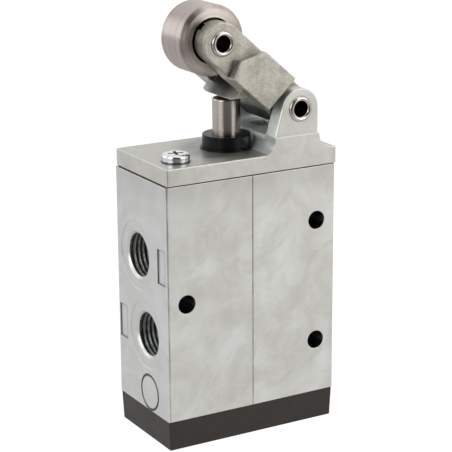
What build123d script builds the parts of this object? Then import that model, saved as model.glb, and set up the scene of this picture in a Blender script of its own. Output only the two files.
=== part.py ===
"""Roller-lever pneumatic valve: a die-cast 3/2-way spool valve worked by a pressed lever.

Millimetres, +Z up. The origin is where the plunger's axis meets the base's underside. The wide faces
look along Y, the supply and exhaust ports open on the -X end and the outlet port on the +X end.
"""
from build123d import *
from math import cos, isclose, radians, sin, tan
import os

# Body casting, and how far a cut or a joined shape runs past a face
BODY_WIDTH = 53.1
BODY_DEPTH = 29.3
BODY_HEIGHT = 66.0
BODY_DRAFT = 0.3
BODY_EDGE_RADIUS = 0.5
BODY_CENTRE_X = -0.45
PARTING_WIDTH = 0.2
PARTING_DEPTH = 0.12
OVERRUN = 1.0

# Base cover, moulded plastic
BASE_HEIGHT = 8.6
BASE_INSET = 0.12
BASE_DRAFT = 2.9
BASE_CORNER_RADIUS = 0.5
BASE_FOOT_RADIUS = 0.3
SPIGOT_HEIGHT = 3.2
BASE_FLOOR = 3.0

# Gasket and cover plate with the lever's ears
GASKET_THICKNESS = 0.3
GASKET_INSET = 0.5
PLATE_THICKNESS = 4.65
PLATE_LEFT_STEP = 0.5
PLATE_RIGHT_PROUD = 0.4
PLATE_BACK_PROUD = 0.4
PLATE_EDGE_RADIUS = 0.4
PEDESTAL_LEFT = 6.85
PEDESTAL_HEIGHT = 4.4
PEDESTAL_LEFT_FILLET = 3.2
PEDESTAL_RIGHT_FILLET = 4.2
EAR_GAP = 18.6
EAR_STEP = 0.5
EAR_LEDGE = 0.2
EAR_RADIUS = 5.65
EAR_FOOT_FILLET = 1.0
COVER_EDGE_RADIUS = 0.3

# Ports: G1/4 with the thread's major diameter as the plain wall
PORT_THREAD_MAJOR = 13.157
PORT_THREAD_DEPTH = 12.0
PORT_CHAMFER = 0.15
SPOTFACE_DIAMETER = 19.5
SPOTFACE_DEPTH = 0.12
PASSAGE_DIAMETER = 7.0
PORT_PITCH = 10.8
PORT_ABOVE_MIDDLE = -0.35
PORT_SIDE_OFFSET = 2.4

# Plain marks on the left end: a shallow sunk panel beside each port, and a sunk ring near the foot
PANEL_WIDTH = 4.1
PANEL_LENGTH = 9.5
PANEL_DEPTH = 0.3
PANEL_INSET = 1.1
RING_MARK_RADIUS = 4.95
RING_MARK_LINE = 0.3
RING_MARK_DEPTH = 0.15
RING_MARK_Y = -3.5
RING_MARK_ABOVE_BASE = 5.25

# Fixing holes through the body
MOUNT_HOLE_DIAMETER = 5.2
MOUNT_HOLE_INSET = 5.95
MOUNT_HOLE_ABOVE_MIDDLE = 0.05
MOUNT_HOLE_PITCH = 35.15

# Spool bore and the stack of seals and cages
BORE_DIAMETER = 16.0
STACK_CLEARANCE = 0.05
SEAL_HEIGHT = 2.8
SEAL_LIP_HALF_HEIGHT = 0.5
CAGE_BORE_DIAMETER = 10.0
CAGE_GROOVE_DEPTH = 1.2
CAGE_WALL = 1.4
CAGE_WINDOW_DIAMETER = 3.2
CAGE_WINDOWS = 6
SEAL_LIP_CLEARANCE = 0.08
RING_SECTION_DIAMETER = 1.8
RING_GROOVE_PLAY = 0.1
RETAINER_CLEARANCE = 0.1
LOWER_RETAINER_CAP = 1.6

# Spool, plunger and return spring
SPOOL_DIAMETER = 8.0
SPOOL_NECK_DIAMETER = 5.6
SPOOL_NECK_LENGTH = 10.4
SPOOL_NECK_CENTRE = 2.55
SPOOL_STUD_DIAMETER = 4.0
SPOOL_STUD_LENGTH = 6.0
STUD_END_GAP = 0.2
PLUNGER_DIAMETER = 7.8
PLUNGER_TOP_ABOVE_PLATE = 14.0
PLUNGER_EDGE_RADIUS = 0.5
STROKE = 4.7
CLIP_DIAMETER = 11.6
CLIP_THICKNESS = 1.2
CLIP_GROOVE_DEPTH = 0.7
CLIP_MOUTH = 4.0
CLIP_ABOVE_END = 1.2
CLIP_CHAMBER_CLEARANCE = 0.8
STOP_GAP = 0.2
SPRING_SEAT_DIAMETER = 10.4
SPRING_SEAT_THICKNESS = 1.3
SPRING_SEAT_CLEARANCE = 0.3
SPRING_SEAT_LIFT = 1.25
SPRING_MEAN_DIAMETER = 8.3
SPRING_WIRE = 1.2
SPRING_TURNS = 5.5
SPRING_END_GAP = 0.1

# Guide bush and rod seal round the plunger
BUSH_DIAMETER = 13.4
BUSH_HEIGHT = 4.0
BUSH_CHAMFER = 0.15
BUSH_FLANGE_DIAMETER = 14.5
BUSH_FLANGE_THICKNESS = 0.6
BUSH_STEM_DIAMETER = 11.2
BUSH_STEM_BELOW_PLATE = 2.0
BUSH_CLEARANCE = 0.07
BUSH_RELIEF = 0.2
ROD_SEAL_HEIGHT = 2.6

# Lever, in its own axes: u runs from the pivot to the roller axle, w points down to the plunger
PIVOT_X = 15.1
PIVOT_ABOVE_PEDESTAL = 7.2
ARM_LENGTH = 29.72
ARM_ANGLE = 40.85
TONGUE_CLEARANCE = 0.3
HUB_RADIUS = 5.7
CHEEK_RADIUS = 5.7
CHEEK_THICKNESS = 5.1
CHEEK_EDGE_RADIUS = 0.35
BLOCK_PROUD = 2.85
BLOCK_TOP_W = -5.45
BLOCK_BOTTOM_W = 6.0
BLOCK_HEEL_TOP_U = 6.55
BLOCK_HEEL_BOTTOM_U = 7.95
BLOCK_TOP_U = 19.1
BLOCK_SHOULDER_U = 23.65
BLOCK_SHOULDER_W = 1.1
BLOCK_TOE_U = 22.1
BLOCK_CORNER_RADIUS = 0.6
BLOCK_EDGE_RADIUS = 0.3
POCKET_RADIUS = 2.2
POCKET_DEPTH = 1.0
POCKET_SETBACK = 0.9
NOTCH_W = -0.7
NOTCH_WIDTH = 2.1
NOTCH_DEPTH = 0.9
NOTCH_REACH = 1.1
WEB_END_U = 15.6
WEB_BOTTOM_W = 5.2
NOSE_RADIUS = 6.0
NOSE_CENTRE_X = 0.15
NOSE_GAP = 0.1
NOSE_CROWN_RADIUS = 33.0
NOSE_HEEL_U = 8.6

# Tubular rivets at the pivot and at the roller
RIVET_DIAMETER = 5.6
RIVET_BORE = 4.2
PIVOT_RIM_DIAMETER = 7.2
ROLLER_RIM_DIAMETER = 6.95
RIVET_RIM_HEIGHT = 0.7
PIN_CLEARANCE = 0.05

# Roller
ROLLER_DIAMETER = 19.4
ROLLER_WIDTH = 11.9
ROLLER_SIDE_GAP = 0.25
ROLLER_SHOULDER_WIDTH = 0.85
ROLLER_SHOULDER_DROP = 1.25
ROLLER_EDGE_RADIUS = 0.3
ROLLER_RECESS_DIAMETER = 12.6
ROLLER_RECESS_DEPTH = 0.5
ROLLER_BUSH_DIAMETER = 8.4
WASHER_DIAMETER = 9.4
WASHER_THICKNESS = 0.6

# Screws, M4
SCREW_DIAMETER = 4.0
SCREW_HEAD_DIAMETER = 7.6
SCREW_HEAD_HEIGHT = 2.3
SCREW_HEAD_EDGE_RADIUS = 0.9
SCREW_RECESS_LENGTH = 4.2
SCREW_RECESS_WIDTH = 0.9
SCREW_RECESS_DEPTH = 1.3
SCREW_GRIP = 8.0
SCREW_CLEARANCE = 0.2
SCREW_HEAD_CLEARANCE = 0.35
SCREW_TIP_GAP = 1.0
THREAD_CLEARANCE = 0.03
COVER_SCREW_INSET_X = 7.15
COVER_SCREW_INSET_Y = 7.35
EAR_SCREW_Y = 4.4
COVER_SCREW_TURN = -17
BASE_SCREW_INSET_X = 6.15
BASE_SCREW_INSET_Y = 6.05
BASE_SCREW_SINK = 3.2

# Heights that follow
BODY_BOTTOM = BASE_HEIGHT
BODY_TOP = BODY_BOTTOM + BODY_HEIGHT
PLATE_BOTTOM = BODY_TOP + GASKET_THICKNESS
PLATE_TOP = PLATE_BOTTOM + PLATE_THICKNESS
PEDESTAL_TOP = PLATE_TOP + PEDESTAL_HEIGHT
PEDESTAL_RIGHT = PIVOT_X + EAR_RADIUS + EAR_LEDGE
PIVOT_Z = PEDESTAL_TOP + PIVOT_ABOVE_PEDESTAL
PLUNGER_TOP = PLATE_TOP + PLUNGER_TOP_ABOVE_PLATE
BODY_MIDDLE = BODY_BOTTOM + BODY_HEIGHT / 2
OUTLET_Z = BODY_MIDDLE + PORT_ABOVE_MIDDLE
MOUNT_HOLE_Z = BODY_MIDDLE + MOUNT_HOLE_ABOVE_MIDDLE
SUPPLY_Z = OUTLET_Z - PORT_PITCH
EXHAUST_Z = OUTLET_Z + PORT_PITCH
SEAL_LEVELS = [OUTLET_Z + PORT_PITCH * step for step in (-1.5, -0.5, 0.5, 1.5)]
STACK_BOTTOM = SEAL_LEVELS[0] - SEAL_HEIGHT / 2
STACK_TOP = SEAL_LEVELS[-1] + SEAL_HEIGHT / 2
SPIGOT_TOP = BODY_BOTTOM + SPIGOT_HEIGHT
CAP_BOTTOM = STACK_BOTTOM - LOWER_RETAINER_CAP
SPOOL_BOTTOM = CAP_BOTTOM - SPRING_SEAT_LIFT
SPRING_TOP = SPOOL_BOTTOM - SPRING_SEAT_THICKNESS
CLIP_BOTTOM = STACK_TOP + STROKE + STOP_GAP
CLIP_TOP = CLIP_BOTTOM + CLIP_THICKNESS
PLUNGER_BOTTOM = CLIP_BOTTOM - CLIP_ABOVE_END
BUSH_TOP = PLATE_TOP + BUSH_HEIGHT
BUSH_BOTTOM = PLATE_BOTTOM - BUSH_STEM_BELOW_PLATE
ROD_SEAL_BOTTOM = BUSH_BOTTOM - ROD_SEAL_HEIGHT

# Widths, radii and depths that follow
BODY_LEFT = BODY_CENTRE_X - BODY_WIDTH / 2
BODY_RIGHT = BODY_CENTRE_X + BODY_WIDTH / 2
PLATE_LEFT = BODY_LEFT + PLATE_LEFT_STEP
PLATE_RIGHT = BODY_RIGHT + PLATE_RIGHT_PROUD
BORE_RADIUS = BORE_DIAMETER / 2
STACK_RADIUS = BORE_RADIUS - STACK_CLEARANCE
SPOOL_RADIUS = SPOOL_DIAMETER / 2
PLUNGER_RADIUS = PLUNGER_DIAMETER / 2
GUIDE_RADIUS = PLUNGER_RADIUS + BUSH_CLEARANCE
STEM_RADIUS = BUSH_STEM_DIAMETER / 2
CHAMBER_RADIUS = CLIP_DIAMETER / 2 + CLIP_CHAMBER_CLEARANCE
EAR_INNER = EAR_GAP / 2
EAR_OUTER = BODY_DEPTH / 2 - EAR_STEP
TONGUE_HALF = EAR_INNER - TONGUE_CLEARANCE
CHEEK_INNER = ROLLER_WIDTH / 2 + ROLLER_SIDE_GAP
CHEEK_OUTER = CHEEK_INNER + CHEEK_THICKNESS
BLOCK_OUTER = CHEEK_OUTER + BLOCK_PROUD
PIN_HOLE_RADIUS = RIVET_DIAMETER / 2 + PIN_CLEARANCE
SCREW_HOLE_RADIUS = SCREW_DIAMETER / 2 + SCREW_CLEARANCE
SCREW_SINK_RADIUS = SCREW_HEAD_DIAMETER / 2 + SCREW_HEAD_CLEARANCE
SCREW_THREAD_RADIUS = SCREW_DIAMETER / 2 + THREAD_CLEARANCE

ARM = radians(ARM_ANGLE)
PIVOT = Vector(PIVOT_X, 0, PIVOT_Z)
ARM_DIRECTION = Vector(-cos(ARM), 0, sin(ARM))
LEVER_PLANE = Plane(origin=PIVOT, x_dir=ARM_DIRECTION, z_dir=(0, -1, 0))
AXLE = PIVOT + ARM_DIRECTION * ARM_LENGTH


def ring(inner, outer, low, high):
    """A plain ring or, with no inner radius, a disc about the vertical axis."""
    body = extrude(Pos(0, 0, low) * Circle(outer), amount=high - low)
    if inner > 0:
        body -= extrude(Pos(0, 0, low) * Circle(inner), amount=high - low)
    return body


def slab(outline, low, high, plane=Plane.XZ):
    """An outline drawn in the XZ plane, or in the lever's plane, between two depths along Y."""
    return Pos(0, low, 0) * extrude(plane * outline, amount=low - high)


def both_sides(outline, inner, outer, plane=Plane.XZ, edge_radius=0.0):
    """The same slab on the -Y and on the +Y side, with its outer rim rounded if a radius is given."""
    back = slab(outline, inner, outer, plane)
    if edge_radius > 0:
        back = fillet(back.faces().sort_by(Axis.Y)[-1].edges(), edge_radius)
    return back + mirror(back, Plane.XZ)


def cross_pin(radius, x, z, half_length):
    """A cylinder along Y, centred on the middle plane."""
    return slab(Pos(x, z) * Circle(radius), -half_length, half_length)


def port_cut(x_face, side, y, z):
    """Spotface, chamfer, threaded length and passage of one port, opening to the given side."""
    radius = PORT_THREAD_MAJOR / 2
    passage_end = abs(x_face)
    profile = Polyline(
        (-OVERRUN, 0),
        (-OVERRUN, SPOTFACE_DIAMETER / 2),
        (SPOTFACE_DEPTH, SPOTFACE_DIAMETER / 2),
        (SPOTFACE_DEPTH, radius + PORT_CHAMFER),
        (SPOTFACE_DEPTH + PORT_CHAMFER, radius),
        (PORT_THREAD_DEPTH, radius),
        (PORT_THREAD_DEPTH + radius - PASSAGE_DIAMETER / 2, PASSAGE_DIAMETER / 2),
        (passage_end, PASSAGE_DIAMETER / 2),
        (passage_end, 0),
        close=True,
    )
    cutter = revolve(make_face(profile), Axis.X)
    turn = 0 if side < 0 else 180
    return Pos(x_face, y, z) * Rot(0, 0, turn) * cutter


def make_valve_body():
    """The zinc casting, drafted from the parting line in its middle towards both ends."""
    half_width = BODY_WIDTH / 2
    half_depth = BODY_DEPTH / 2
    crest = half_depth + half_width * tan(radians(BODY_DRAFT))
    plan = Polygon(
        (-half_width, -half_depth), (0, -crest), (half_width, -half_depth),
        (half_width, half_depth), (0, crest), (-half_width, half_depth),
        align=None,
    )
    body = extrude(Pos(0, 0, BODY_BOTTOM) * plan, amount=BODY_HEIGHT)
    corners = body.edges().filter_by(Axis.Z).filter_by(lambda edge: abs(edge.center().X) > half_width / 2)
    body = Pos(BODY_CENTRE_X, 0) * fillet(corners, BODY_EDGE_RADIUS)
    body -= ring(0, BORE_RADIUS, BODY_BOTTOM, BODY_TOP)
    body -= port_cut(BODY_LEFT, -1, -PORT_SIDE_OFFSET, SUPPLY_Z)
    body -= port_cut(BODY_LEFT, -1, PORT_SIDE_OFFSET, EXHAUST_Z)
    body -= port_cut(BODY_RIGHT, 1, 0, OUTLET_Z)
    for x, z in mount_hole_places():
        body -= cross_pin(MOUNT_HOLE_DIAMETER / 2, x, z, BODY_DEPTH)
    thread_depth = SCREW_GRIP + SCREW_TIP_GAP
    for x, y in cover_screw_places():
        body -= Pos(x, y, 0) * ring(0, SCREW_THREAD_RADIUS, BODY_TOP - thread_depth, BODY_TOP)
    for x, y in base_screw_places():
        body -= Pos(x, y, 0) * ring(0, SCREW_THREAD_RADIUS, BODY_BOTTOM, BODY_BOTTOM + thread_depth)
    parting_line = Pos(BODY_CENTRE_X, BODY_MIDDLE) * Rectangle(PARTING_WIDTH, BODY_HEIGHT)
    body -= both_sides(parting_line, crest - PARTING_DEPTH, crest + OVERRUN)
    panel_y = BODY_DEPTH / 2 - PANEL_INSET - PANEL_WIDTH / 2
    for y, z in ((-panel_y, EXHAUST_Z), (panel_y, SUPPLY_Z)):
        body -= Pos(BODY_LEFT, y, z) * Box(2 * PANEL_DEPTH, PANEL_WIDTH, PANEL_LENGTH)
    return body - ring_mark()


def ring_mark():
    """The sunk ring on the left end."""
    half_line = RING_MARK_LINE / 2
    outline = Circle(RING_MARK_RADIUS + half_line) - Circle(RING_MARK_RADIUS - half_line)
    groove = extrude(Rot(0, 90, 0) * outline, amount=RING_MARK_DEPTH, both=True)
    return Pos(BODY_LEFT, RING_MARK_Y, BODY_BOTTOM + RING_MARK_ABOVE_BASE) * groove


def mount_hole_places():
    """One fixing hole on the left at mid height, two on the right above and below it."""
    left = BODY_LEFT + MOUNT_HOLE_INSET
    right = BODY_RIGHT - MOUNT_HOLE_INSET
    return [
        (left, MOUNT_HOLE_Z),
        (right, MOUNT_HOLE_Z - MOUNT_HOLE_PITCH / 2),
        (right, MOUNT_HOLE_Z + MOUNT_HOLE_PITCH / 2),
    ]


def cover_screw_places():
    """One screw in the open on the left, one between the ears."""
    return [
        (BODY_LEFT + COVER_SCREW_INSET_X, COVER_SCREW_INSET_Y - BODY_DEPTH / 2),
        (PIVOT_X, EAR_SCREW_Y),
    ]


def base_screw_places():
    """Four screws near the corners of the base."""
    left = BODY_LEFT + BASE_SCREW_INSET_X
    right = BODY_RIGHT - BASE_SCREW_INSET_X
    back = BODY_DEPTH / 2 - BASE_SCREW_INSET_Y
    return [(x, y) for x in (left, right) for y in (-back, back)]


def make_base_cover():
    """The black moulded foot, with a spigot into the bore and a pocket for the spring."""
    width = BODY_WIDTH - 2 * BASE_INSET
    depth = BODY_DEPTH - 2 * BASE_INSET
    top = Pos(BODY_CENTRE_X, 0, BASE_HEIGHT) * RectangleRounded(width, depth, BASE_CORNER_RADIUS)
    base = extrude(top, amount=-BASE_HEIGHT, taper=BASE_DRAFT)
    base = fillet(base.faces().sort_by(Axis.Z)[0].outer_wire().edges(), BASE_FOOT_RADIUS)
    base += ring(0, STACK_RADIUS, BASE_HEIGHT - OVERRUN, SPIGOT_TOP)
    base -= ring(0, SPRING_MEAN_DIAMETER / 2 + SPRING_WIRE, BASE_FLOOR, SPIGOT_TOP)
    groove_middle = BODY_BOTTOM + SPIGOT_HEIGHT / 2
    groove_half = RING_SECTION_DIAMETER / 2 + RING_GROOVE_PLAY
    groove_floor = BORE_RADIUS - RING_SECTION_DIAMETER - STACK_CLEARANCE
    base -= ring(groove_floor, BORE_RADIUS, groove_middle - groove_half, groove_middle + groove_half)
    for x, y in base_screw_places():
        base -= Pos(x, y, 0) * ring(0, SCREW_HOLE_RADIUS, 0, BASE_HEIGHT)
        base -= Pos(x, y, 0) * ring(0, SCREW_SINK_RADIUS, 0, BASE_SCREW_SINK)
    return base


def make_base_seal():
    """The round-section ring in the spigot's groove."""
    radius = RING_SECTION_DIAMETER / 2
    ring_radius = BORE_RADIUS - radius - STACK_CLEARANCE / 2
    return Pos(0, 0, BODY_BOTTOM + SPIGOT_HEIGHT / 2) * Torus(ring_radius, radius)


def pan_screw(length):
    """A cross-recessed pan-head screw with its seat at z = 0 and its shank below."""
    head = ring(0, SCREW_HEAD_DIAMETER / 2, 0, SCREW_HEAD_HEIGHT)
    head = fillet(head.edges().sort_by(Axis.Z)[-1], SCREW_HEAD_EDGE_RADIUS)
    screw = head + ring(0, SCREW_DIAMETER / 2, -length, 0)
    slot = Box(SCREW_RECESS_LENGTH, SCREW_RECESS_WIDTH, 2 * SCREW_RECESS_DEPTH)
    cross = slot + Rot(0, 0, 90) * slot
    return screw - Pos(0, 0, SCREW_HEAD_HEIGHT) * cross


def make_cover_screws():
    """The two screws that hold the cover plate to the body."""
    screws = []
    for place, seat in zip(cover_screw_places(), (PLATE_TOP, PEDESTAL_TOP - SCREW_HEAD_HEIGHT)):
        screw = Rot(0, 0, COVER_SCREW_TURN) * pan_screw(seat - BODY_TOP + SCREW_GRIP)
        screws.append(Pos(place[0], place[1], seat) * screw)
    return Compound(screws)


def make_base_screws():
    """The four screws under the base, pointing up."""
    screw = Rot(180, 0, 0) * pan_screw(BASE_HEIGHT - BASE_SCREW_SINK + SCREW_GRIP)
    return Compound([Pos(x, y, BASE_SCREW_SINK) * screw for x, y in base_screw_places()])


def plate_plan(inset=0.0):
    """The cover plate's rectangle, flush with the body in front and a little proud behind."""
    width = PLATE_RIGHT - PLATE_LEFT - 2 * inset
    depth = BODY_DEPTH + PLATE_BACK_PROUD - 2 * inset
    return Pos((PLATE_LEFT + PLATE_RIGHT) / 2, PLATE_BACK_PROUD / 2) * Rectangle(width, depth)


def make_top_gasket():
    """The flat gasket between body and plate."""
    gasket = extrude(Pos(0, 0, BODY_TOP) * plate_plan(GASKET_INSET), amount=GASKET_THICKNESS)
    gasket -= ring(0, STEM_RADIUS + STACK_CLEARANCE, BODY_TOP, PLATE_BOTTOM)
    for x, y in cover_screw_places():
        gasket -= Pos(x, y, 0) * ring(0, SCREW_HOLE_RADIUS, BODY_TOP, PLATE_BOTTOM)
    return gasket


def pedestal_outline():
    """The raised foot of the ears, running out into the plate in a hollow curve at both ends."""
    left = PEDESTAL_LEFT
    right = PEDESTAL_RIGHT
    left_toe = left - PEDESTAL_LEFT_FILLET
    right_toe = right + PEDESTAL_RIGHT_FILLET
    left_foot = PLATE_TOP + PEDESTAL_LEFT_FILLET
    right_foot = PLATE_TOP + PEDESTAL_RIGHT_FILLET
    sunk = PLATE_TOP - OVERRUN
    return make_face([
        RadiusArc((left_toe, PLATE_TOP), (left, left_foot), -PEDESTAL_LEFT_FILLET),
        Polyline((left, left_foot), (left, PEDESTAL_TOP), (right, PEDESTAL_TOP), (right, right_foot)),
        RadiusArc((right, right_foot), (right_toe, PLATE_TOP), -PEDESTAL_RIGHT_FILLET),
        Polyline((right_toe, PLATE_TOP), (right_toe, sunk), (left_toe, sunk), (left_toe, PLATE_TOP)),
    ])


def ear_outline():
    """Round over the pivot, upright on the right, leaning on the left."""
    eye = (Pos(PIVOT_X, PIVOT_Z) * Circle(EAR_RADIUS)).edges()
    foot_z = PEDESTAL_TOP - OVERRUN
    foot = Line((PEDESTAL_LEFT, foot_z), (PIVOT_X + EAR_RADIUS, foot_z))
    return make_hull(eye + foot.edges())


def make_top_cover():
    """Cover plate, pedestal and the two ears in one casting."""
    plate = extrude(Pos(0, 0, PLATE_BOTTOM) * plate_plan(), amount=PLATE_THICKNESS)
    plate = fillet(plate.edges().filter_by(Axis.Z), PLATE_EDGE_RADIUS)
    plate = fillet(plate.faces().sort_by(Axis.Z)[-1].edges(), COVER_EDGE_RADIUS)
    cover = plate + slab(pedestal_outline(), -BODY_DEPTH / 2, BODY_DEPTH / 2 + PLATE_BACK_PROUD)
    cover -= ring(0, BUSH_FLANGE_DIAMETER / 2 + BUSH_RELIEF, PLATE_TOP, PEDESTAL_TOP)
    cover += both_sides(ear_outline(), EAR_INNER, EAR_OUTER, edge_radius=COVER_EDGE_RADIUS)
    level_edges = cover.edges().filter_by(Axis.X).filter_by_position(Axis.Z, PEDESTAL_TOP, PEDESTAL_TOP)
    inner_feet = level_edges.filter_by(lambda edge: isclose(abs(edge.center().Y), EAR_INNER))
    cover = fillet(inner_feet, EAR_FOOT_FILLET)
    cover -= cross_pin(PIN_HOLE_RADIUS, PIVOT_X, PIVOT_Z, BODY_DEPTH)
    cover -= ring(0, STEM_RADIUS + STACK_CLEARANCE, PLATE_BOTTOM, PLATE_TOP)
    for x, y in cover_screw_places():
        cover -= Pos(x, y, 0) * ring(0, SCREW_HOLE_RADIUS, PLATE_BOTTOM, PEDESTAL_TOP)
    sink = ring(0, SCREW_SINK_RADIUS, PEDESTAL_TOP - SCREW_HEAD_HEIGHT, PEDESTAL_TOP + OVERRUN)
    return cover - Pos(PIVOT_X, EAR_SCREW_Y) * sink


def make_guide_bush():
    """The plastic bush that guides the plunger and covers the hole in the plate."""
    bush = ring(0, BUSH_DIAMETER / 2, PLATE_TOP, BUSH_TOP)
    bush = chamfer(bush.edges().sort_by(Axis.Z)[-1], BUSH_CHAMFER)
    bush += ring(0, BUSH_FLANGE_DIAMETER / 2, PLATE_TOP, PLATE_TOP + BUSH_FLANGE_THICKNESS)
    bush += ring(0, STEM_RADIUS, BUSH_BOTTOM, PLATE_TOP + BUSH_FLANGE_THICKNESS)
    return bush - ring(0, GUIDE_RADIUS, BUSH_BOTTOM, BUSH_TOP)


def make_rod_seal():
    """The lip ring under the guide bush."""
    return ring(PLUNGER_RADIUS + SEAL_LIP_CLEARANCE, STEM_RADIUS, ROD_SEAL_BOTTOM, BUSH_BOTTOM)


def make_upper_retainer():
    """Sleeve that stops the plunger's clip and holds the stack down."""
    sleeve = ring(PLUNGER_RADIUS + RETAINER_CLEARANCE, STACK_RADIUS, STACK_TOP, BODY_TOP)
    sleeve -= ring(0, CHAMBER_RADIUS, STACK_TOP, CLIP_TOP + STOP_GAP)
    return sleeve - ring(0, STEM_RADIUS + STACK_CLEARANCE, ROD_SEAL_BOTTOM, BODY_TOP)


def make_lower_retainer():
    """Sleeve round the spring that carries the stack from below."""
    sleeve = ring(SPOOL_RADIUS + RETAINER_CLEARANCE, STACK_RADIUS, SPIGOT_TOP, STACK_BOTTOM)
    return sleeve - ring(0, SPRING_SEAT_DIAMETER / 2 + SPRING_SEAT_CLEARANCE, SPIGOT_TOP, CAP_BOTTOM)


def make_spool_seals():
    """Four lip rings, one on each side of every port level."""
    inner = SPOOL_RADIUS + SEAL_LIP_CLEARANCE
    lip = SEAL_LIP_HALF_HEIGHT
    outline = Polygon(
        (inner + lip, -SEAL_HEIGHT / 2), (STACK_RADIUS, -SEAL_HEIGHT / 2),
        (STACK_RADIUS, SEAL_HEIGHT / 2), (inner + lip, SEAL_HEIGHT / 2),
        (inner, lip), (inner, -lip),
        align=None,
    )
    seal = revolve(Plane.XZ * outline, Axis.Z)
    return Compound([Pos(0, 0, level) * seal for level in SEAL_LEVELS])


def make_cage(level):
    """A spacer ring at one port's level, grooved round the outside and pierced to the spool."""
    half = (PORT_PITCH - SEAL_HEIGHT) / 2
    cage = ring(CAGE_BORE_DIAMETER / 2, STACK_RADIUS, level - half, level + half)
    groove_half = half - CAGE_WALL
    cage -= ring(STACK_RADIUS - CAGE_GROOVE_DEPTH, BORE_RADIUS, level - groove_half, level + groove_half)
    window = Rot(0, 90, 0) * Cylinder(CAGE_WINDOW_DIAMETER / 2, BORE_DIAMETER + OVERRUN)
    for index in range(CAGE_WINDOWS // 2):
        cage -= Pos(0, 0, level) * Rot(0, 0, 360 / CAGE_WINDOWS * index) * window
    return cage


def make_spool():
    """The shifting spool: one neck joins the outlet to the exhaust, or to the supply when pressed."""
    neck_low = OUTLET_Z + SPOOL_NECK_CENTRE - SPOOL_NECK_LENGTH / 2
    neck_high = neck_low + SPOOL_NECK_LENGTH
    neck = SPOOL_NECK_DIAMETER / 2
    slope = SPOOL_RADIUS - neck
    stud = SPOOL_STUD_DIAMETER / 2
    stud_top = PLUNGER_BOTTOM + SPOOL_STUD_LENGTH
    outline = Polygon(
        (0, SPOOL_BOTTOM), (SPOOL_RADIUS, SPOOL_BOTTOM),
        (SPOOL_RADIUS, neck_low), (neck, neck_low + slope),
        (neck, neck_high - slope), (SPOOL_RADIUS, neck_high),
        (SPOOL_RADIUS, PLUNGER_BOTTOM), (stud, PLUNGER_BOTTOM),
        (stud, stud_top), (0, stud_top),
        align=None,
    )
    return revolve(Plane.XZ * outline, Axis.Z)


def make_plunger():
    """The steel pin that the lever presses, grooved for its clip and bored for the spool's stud."""
    plunger = ring(0, PLUNGER_RADIUS, PLUNGER_BOTTOM, PLUNGER_TOP)
    plunger = fillet(plunger.edges().sort_by(Axis.Z)[-1], PLUNGER_EDGE_RADIUS)
    stud_hole_top = PLUNGER_BOTTOM + SPOOL_STUD_LENGTH + STUD_END_GAP
    plunger -= ring(0, SPOOL_STUD_DIAMETER / 2 + STACK_CLEARANCE, PLUNGER_BOTTOM, stud_hole_top)
    groove_floor = PLUNGER_RADIUS - CLIP_GROOVE_DEPTH
    return plunger - ring(groove_floor, PLUNGER_RADIUS + OVERRUN, CLIP_BOTTOM, CLIP_TOP)


def make_plunger_clip():
    """The open clip that keeps the plunger in."""
    inner = PLUNGER_RADIUS - CLIP_GROOVE_DEPTH + STACK_CLEARANCE
    clip = ring(inner, CLIP_DIAMETER / 2, CLIP_BOTTOM, CLIP_TOP)
    mouth = Box(CLIP_DIAMETER, CLIP_MOUTH, 3 * CLIP_THICKNESS)
    return clip - Pos(CLIP_DIAMETER / 2, 0, CLIP_BOTTOM) * mouth


def make_spring_seat():
    """The washer between spring and spool."""
    return ring(0, SPRING_SEAT_DIAMETER / 2, SPRING_TOP, SPOOL_BOTTOM)


def make_return_spring():
    """A round-wire coil spring between the base's pocket and the seat."""
    wire = SPRING_WIRE / 2
    start = BASE_FLOOR + SPRING_END_GAP + wire
    height = SPRING_TOP - SPRING_END_GAP - wire - start
    path = Helix(height / SPRING_TURNS, height, SPRING_MEAN_DIAMETER / 2)
    section = Plane(origin=path @ 0, z_dir=path % 0) * Circle(wire)
    return Pos(0, 0, start) * sweep(section, path)


def block_outline():
    """The proud side block of the lever, in the lever's own axes."""
    outline = Polygon(
        (BLOCK_HEEL_TOP_U, BLOCK_TOP_W), (BLOCK_TOP_U, BLOCK_TOP_W),
        (BLOCK_SHOULDER_U, BLOCK_SHOULDER_W), (BLOCK_TOE_U, BLOCK_BOTTOM_W),
        (BLOCK_HEEL_BOTTOM_U, BLOCK_BOTTOM_W),
        align=None,
    )
    return fillet(outline.vertices(), BLOCK_CORNER_RADIUS)


def cheek_outline():
    """The plate beside the roller: round at the axle, as high as the block behind it."""
    end = (Pos(ARM_LENGTH, 0) * Circle(CHEEK_RADIUS)).edges()
    heel = Line((WEB_END_U, BLOCK_TOP_W), (WEB_END_U, BLOCK_BOTTOM_W))
    return make_hull(end + heel.edges())


def tongue_outline():
    """The hub between the ears and its neck into the web."""
    hub = Circle(HUB_RADIUS).edges()
    neck = Line((WEB_END_U, BLOCK_TOP_W), (WEB_END_U, WEB_BOTTOM_W))
    return make_hull(hub + neck.edges())


def make_nose():
    """The rounded, crowned pad on the web's underside that bears on the plunger."""
    nose_bottom = PLUNGER_TOP + NOSE_GAP
    centre_z = nose_bottom + NOSE_RADIUS
    pad = Pos(NOSE_CENTRE_X, centre_z) * Circle(NOSE_RADIUS)
    pad_solid = slab(pad, -TONGUE_HALF, TONGUE_HALF)
    strip = Pos((NOSE_HEEL_U + WEB_END_U) / 2, 0) * Rectangle(WEB_END_U - NOSE_HEEL_U, BODY_DEPTH)
    pad_solid &= slab(strip, -TONGUE_HALF, TONGUE_HALF, LEVER_PLANE)
    crown = Rot(0, 90, 0) * Cylinder(NOSE_CROWN_RADIUS, BODY_WIDTH)
    return pad_solid & (Pos(NOSE_CENTRE_X, 0, nose_bottom + NOSE_CROWN_RADIUS) * crown)


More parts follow.
